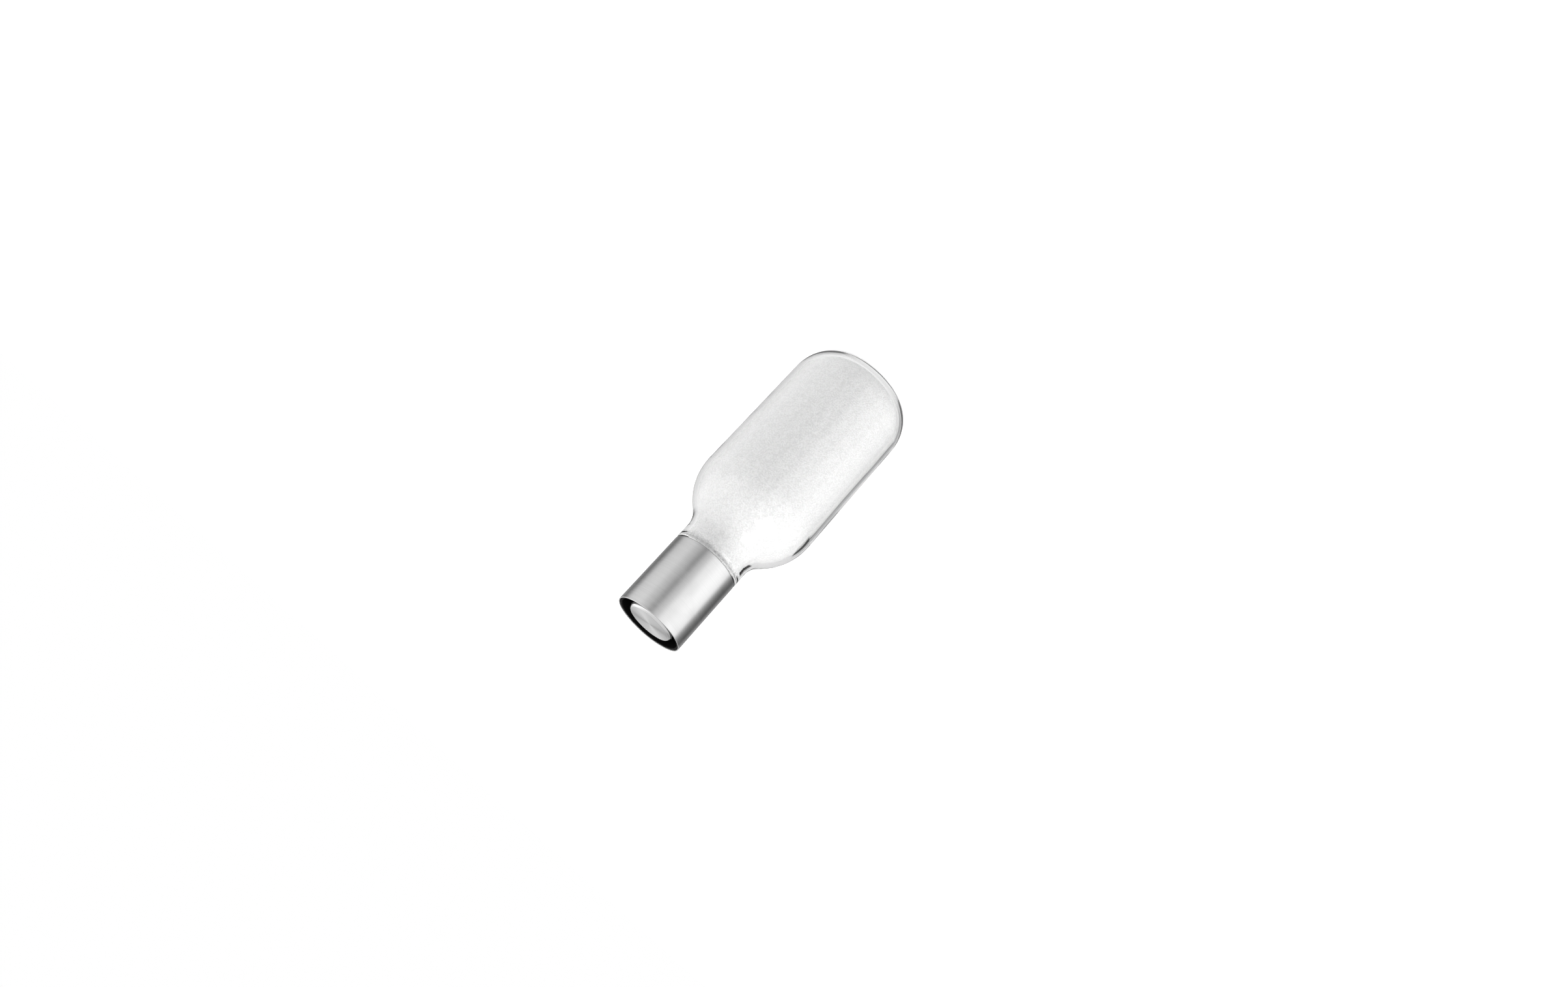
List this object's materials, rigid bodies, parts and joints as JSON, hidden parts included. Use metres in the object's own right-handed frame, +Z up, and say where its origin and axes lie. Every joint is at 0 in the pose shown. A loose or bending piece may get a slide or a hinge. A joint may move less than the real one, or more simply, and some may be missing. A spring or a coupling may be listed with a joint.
{
  "type": "sugar dispenser",
  "caption": "Clear glass bottle with a lift-off brushed steel pouring head; a round steel flap hinged in its mouth falls shut by its own weight and swings open when tilted.",
  "frame": {"origin": "centre of the foot, on the plane that the bottle stands on", "axes": "+Z up the bottle to the spout; -X towards the side that pours; the flap's cross pin lies along Y near the +X side"},
  "size_m": [0.064, 0.064, 0.165],
  "materials": {
    "clear_glass": "clear, fire polished",
    "collar_steel": "fine brushing round the tube",
    "flap_steel": "fine turned circles, polished edge",
    "pin_steel": "ground",
    "black_plastic": "fine satin moulding",
    "black_silicone": "matte"
  },
  "bodies": {
    "bottle": {"glass_bottle": "clear_glass"},
    "head": {"steel_collar": "collar_steel", "spout_insert": "black_plastic", "neck_plug": "black_plastic", "neck_seal": "black_silicone", "hinge_pin": "pin_steel"},
    "flap": {"flap_disc": "flap_steel", "flap_carrier": "black_plastic", "flap_seal": "black_silicone"}
  },
  "joints": [
    {"name": "head_lift", "type": "slide", "parent": "bottle", "child": "head", "axis": [0, 0, 1], "range_m": [0, 0.06]},
    {"name": "flap_hinge", "type": "hinge", "parent": "head", "child": "flap", "pos_m": [0.00842, 0, 0.161], "axis": [0, 1, 0], "range_deg": [0, 60]}
  ]
}
